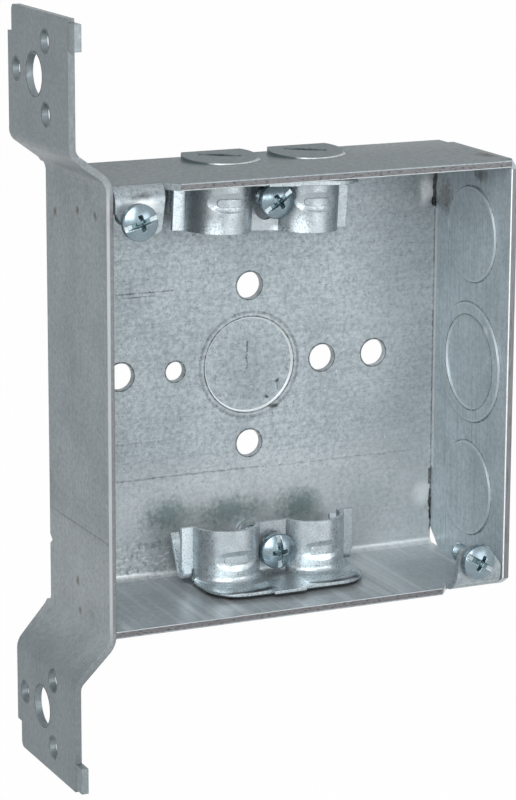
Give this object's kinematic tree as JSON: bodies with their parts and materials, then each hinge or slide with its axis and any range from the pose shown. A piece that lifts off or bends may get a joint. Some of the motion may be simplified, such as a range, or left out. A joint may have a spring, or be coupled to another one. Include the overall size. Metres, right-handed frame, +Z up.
{
  "type": "square electrical box",
  "caption": "Square welded steel electrical box with an offset stud bracket along its left side, knockouts, pry-out cable entries, screw-down cable clamps and cover screws.",
  "frame": {"origin": "on the face that meets the stud, midway between the large fixing holes of the bracket's two ears", "axes": "+X from the stud across the box to the right, +Y from the open front to the back, +Z up along the stud"},
  "size_m": [0.1102, 0.0432, 0.1732],
  "materials": {
    "galvanised_sheet": "galvanised, semi-gloss, mottled",
    "clamp_sheet": "zinc plated, bright",
    "screw_zinc": "zinc plated, bright"
  },
  "bodies": {
    "box": {"body_channel": "galvanised_sheet", "right_side_plate": "galvanised_sheet", "mounting_bracket": "galvanised_sheet"},
    "upper_clamp": {"upper_cable_clamp": "clamp_sheet"},
    "lower_clamp": {"lower_cable_clamp": "clamp_sheet"},
    "upper_clamping_screw": {"upper_clamp_screw": "screw_zinc"},
    "lower_clamping_screw": {"lower_clamp_screw": "screw_zinc"},
    "upper_cover_fixing": {"upper_cover_screw": "screw_zinc"},
    "lower_cover_fixing": {"lower_cover_screw": "screw_zinc"}
  },
  "joints": [
    {"name": "upper_clamp_slide", "type": "slide", "parent": "box", "child": "upper_clamp", "axis": [0, 1, 0], "range_m": [-0.0028, 0.0014]},
    {"name": "lower_clamp_slide", "type": "slide", "parent": "box", "child": "lower_clamp", "axis": [0, 1, 0], "range_m": [-0.0014, 0.0024]},
    {"name": "upper_clamp_screw_turn", "type": "hinge", "parent": "upper_clamp", "child": "upper_clamping_screw", "pos_m": [0.0594, 0.0028, 0.0403], "axis": [0, 1, 0], "range_deg": [-1279.92, 644.96]},
    {"name": "lower_clamp_screw_turn", "type": "hinge", "parent": "lower_clamp", "child": "lower_clamping_screw", "pos_m": [0.0594, 0.0028, -0.0427], "axis": [0, 1, 0], "range_deg": [-644.96, 1098.5]},
    {"name": "upper_cover_screw_feed", "type": "slide", "parent": "box", "child": "upper_cover_fixing", "axis": [0, 1, 0], "range_m": [-0.006, 0.0016]},
    {"name": "lower_cover_screw_feed", "type": "slide", "parent": "box", "child": "lower_cover_fixing", "axis": [0, 1, 0], "range_m": [-0.0072, 0.0004]}
  ],
  "couplings": [
    {"joint": "upper_clamp_screw_turn", "follows": "upper_clamp_slide", "rad_per_m": 7915.8},
    {"joint": "lower_clamp_screw_turn", "follows": "lower_clamp_slide", "rad_per_m": 7915.8}
  ]
}
